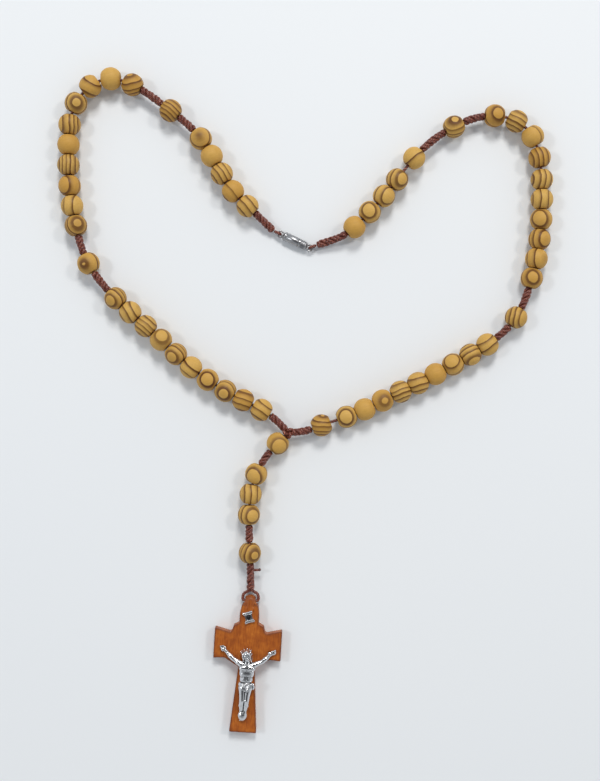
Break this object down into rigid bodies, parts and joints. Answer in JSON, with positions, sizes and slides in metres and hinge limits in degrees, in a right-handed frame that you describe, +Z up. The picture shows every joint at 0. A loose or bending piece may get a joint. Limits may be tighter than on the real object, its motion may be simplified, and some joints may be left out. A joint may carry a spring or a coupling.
{
  "type": "rosary",
  "caption": "Wooden rosary of round beads on knotted cord, laid out flat, with a barrel clasp in the loop and a tail that ends in a small hinged crucifix.",
  "frame": {"origin": "middle of the laid-out rosary's footprint, on the surface that it rests on", "axes": "+Z up from the surface, +Y along the layout from the crucifix to the top of the loop, +X to the right seen from above"},
  "size_m": [0.1764, 0.2368, 0.008],
  "materials": {
    "bead_wood": "satin turned wood with visible growth rings",
    "cross_wood": "stained and polished wood",
    "cord": "glossy twisted nylon cord",
    "clasp_metal": "polished plated metal",
    "silver": "polished cast metal with dark recesses"
  },
  "bodies": {
    "centre": {"centre_knot": "cord", "knot_left_1": "cord", "knot_right_1": "cord", "cord_centre": "cord"},
    "left_decade_1": {"decade_1_lower_beads": "bead_wood", "decade_1_upper_beads": "bead_wood", "knot_left_2": "cord", "cord_left_1": "cord"},
    "left_decade_2": {"knot_left_3": "cord", "decade_2_lower_beads": "bead_wood", "decade_2_upper_beads": "bead_wood", "knot_left_4": "cord", "cord_left_2": "cord"},
    "left_decade_3": {"knot_left_5": "cord", "decade_3_left_beads": "bead_wood", "knot_left_6": "cord", "cord_left_3": "cord"},
    "clasp_screw_half": {"clasp_post_half": "clasp_metal", "clasp_screw_post": "clasp_metal", "clasp_loop_left": "cord"},
    "right_decade_5": {"decade_5_lower_beads": "bead_wood", "decade_5_upper_beads": "bead_wood", "knot_right_2": "cord", "cord_right_1": "cord"},
    "right_decade_4": {"knot_right_3": "cord", "decade_4_lower_beads": "bead_wood", "decade_4_upper_beads": "bead_wood", "knot_right_4": "cord", "cord_right_2": "cord"},
    "right_decade_3": {"knot_right_5": "cord", "decade_3_right_beads": "bead_wood", "knot_right_6": "cord", "cord_right_3": "cord", "clasp_loop_right": "cord", "clasp_socket_half": "clasp_metal"},
    "tail": {"knot_tail_1": "cord", "knot_tail_2": "cord", "cord_tail_1": "cord"},
    "tail_end": {"knot_tail_3": "cord", "cord_tail_2": "cord", "crucifix_loop": "cord", "cord_cut_end": "cord"},
    "crucifix": {"crucifix_cross": "cross_wood", "corpus": "silver", "title_plaque": "silver", "fixing_nails": "silver"},
    "tail_upper_bead": {"tail_upper_bead": "bead_wood"},
    "tail_hail_mary_bead_1": {"tail_hail_mary_bead_1": "bead_wood"},
    "tail_hail_mary_bead_2": {"tail_hail_mary_bead_2": "bead_wood"},
    "tail_hail_mary_bead_3": {"tail_hail_mary_bead_3": "bead_wood"},
    "tail_lower_bead": {"tail_lower_bead": "bead_wood"},
    "our_father_bead_1": {"our_father_bead_1": "bead_wood"},
    "our_father_bead_2": {"our_father_bead_2": "bead_wood"},
    "our_father_bead_3": {"our_father_bead_3": "bead_wood"},
    "our_father_bead_4": {"our_father_bead_4": "bead_wood"},
    "decade_5_sliding_bead": {"decade_5_sliding_bead": "bead_wood"},
    "decade_3_sliding_bead": {"decade_3_sliding_bead": "bead_wood"}
  },
  "joints": [
    {"name": "loop_open", "type": "hinge", "parent": "centre", "child": "left_decade_1", "pos_m": [-0.0125, -0.00519, 0.004], "axis": [0, 0, 1], "range_deg": [0, 20]},
    {"name": "left_bend_2", "type": "hinge", "parent": "left_decade_1", "child": "left_decade_2", "pos_m": [-0.07527, 0.04566, 0.004], "axis": [0, 0, 1], "range_deg": [0, 2.7]},
    {"name": "left_bend_3", "type": "hinge", "parent": "left_decade_2", "child": "left_decade_3", "pos_m": [-0.05077, 0.10535, 0.004], "axis": [0, 0, 1], "range_deg": [0, 3.1]},
    {"name": "right_bend_1", "type": "hinge", "parent": "centre", "child": "right_decade_5", "pos_m": [0.00237, -0.0101, 0.004], "axis": [0, 0, 1], "range_deg": [-14.1, 0]},
    {"name": "right_bend_2", "type": "hinge", "parent": "right_decade_5", "child": "right_decade_4", "pos_m": [0.07277, 0.02664, 0.004], "axis": [0, 0, 1], "range_deg": [-2.1, 0]},
    {"name": "right_bend_3", "type": "hinge", "parent": "right_decade_4", "child": "right_decade_3", "pos_m": [0.05611, 0.09892, 0.004], "axis": [0, 0, 1], "range_deg": [0, 18.1]},
    {"name": "clasp_turn", "type": "hinge", "parent": "left_decade_3", "child": "clasp_screw_half", "pos_m": [-0.0025, 0.0565, 0.0017], "axis": [0.9033, -0.4289, 0], "range_deg": [0, 1080]},
    {"name": "tail_bend_1", "type": "hinge", "parent": "centre", "child": "tail", "pos_m": [-0.01225, -0.0179, 0.004], "axis": [0, 0, 1], "range_deg": [-25, 25]},
    {"name": "tail_bend_2", "type": "hinge", "parent": "tail", "child": "tail_end", "pos_m": [-0.01986, -0.0506, 0.004], "axis": [0, 0, 1], "range_deg": [-25, 25]},
    {"name": "crucifix_swing", "type": "hinge", "parent": "tail_end", "child": "crucifix", "pos_m": [-0.0196, -0.07145, 0.002], "axis": [-0.9982, 0.0593, 0], "range_deg": [0, 100]},
    {"name": "tail_upper_bead_spin", "type": "hinge", "parent": "centre", "child": "tail_upper_bead", "pos_m": [-0.00978, -0.01521, 0.004], "axis": [-0.6844, -0.7291, 0], "continuous": true},
    {"name": "tail_hail_mary_bead_1_spin", "type": "hinge", "parent": "tail", "child": "tail_hail_mary_bead_1", "pos_m": [-0.01747, -0.02608, 0.004], "axis": [-0.4076, -0.9132, 0], "continuous": true},
    {"name": "tail_hail_mary_bead_2_spin", "type": "hinge", "parent": "tail", "child": "tail_hail_mary_bead_2", "pos_m": [-0.01946, -0.03329, 0.004], "axis": [-0.1537, -0.9881, 0], "continuous": true},
    {"name": "tail_hail_mary_bead_3_spin", "type": "hinge", "parent": "tail", "child": "tail_hail_mary_bead_3", "pos_m": [-0.02006, -0.04065, 0.004], "axis": [-0.0065, -1, 0], "continuous": true},
    {"name": "tail_lower_bead_spin", "type": "hinge", "parent": "tail_end", "child": "tail_lower_bead", "pos_m": [-0.01972, -0.05425, 0.004], "axis": [0.0374, -0.9993, 0], "continuous": true},
    {"name": "our_father_bead_1_spin", "type": "hinge", "parent": "left_decade_2", "child": "our_father_bead_1", "pos_m": [-0.07718, 0.04877, 0.004], "axis": [-0.4821, 0.8761, 0], "continuous": true},
    {"name": "our_father_bead_2_spin", "type": "hinge", "parent": "left_decade_3", "child": "our_father_bead_2", "pos_m": [-0.04787, 0.10314, 0.004], "axis": [0.7912, -0.6115, 0], "continuous": true},
    {"name": "our_father_bead_3_spin", "type": "hinge", "parent": "right_decade_3", "child": "our_father_bead_3", "pos_m": [0.0528, 0.09738, 0.004], "axis": [-0.8886, -0.4586, 0], "continuous": true},
    {"name": "our_father_bead_4_spin", "type": "hinge", "parent": "right_decade_4", "child": "our_father_bead_4", "pos_m": [0.07504, 0.0295, 0.004], "axis": [0.5643, 0.8256, 0], "continuous": true},
    {"name": "decade_5_sliding_slide", "type": "slide", "parent": "right_decade_5", "child": "decade_5_sliding_bead", "axis": [0.9389, 0.3442, 0], "range_m": [0, 0.0023]},
    {"name": "decade_3_sliding_slide", "type": "slide", "parent": "right_decade_3", "child": "decade_3_sliding_bead", "axis": [-0.6689, -0.7433, 0], "range_m": [0, 0.0026]}
  ],
  "couplings": [
    {"joint": "left_bend_2", "follows": "loop_open", "ratio": 0.13},
    {"joint": "left_bend_3", "follows": "loop_open", "ratio": 0.15},
    {"joint": "right_bend_1", "follows": "loop_open", "ratio": -0.7},
    {"joint": "right_bend_2", "follows": "loop_open", "ratio": -0.1},
    {"joint": "right_bend_3", "follows": "loop_open", "ratio": 0.9}
  ]
}
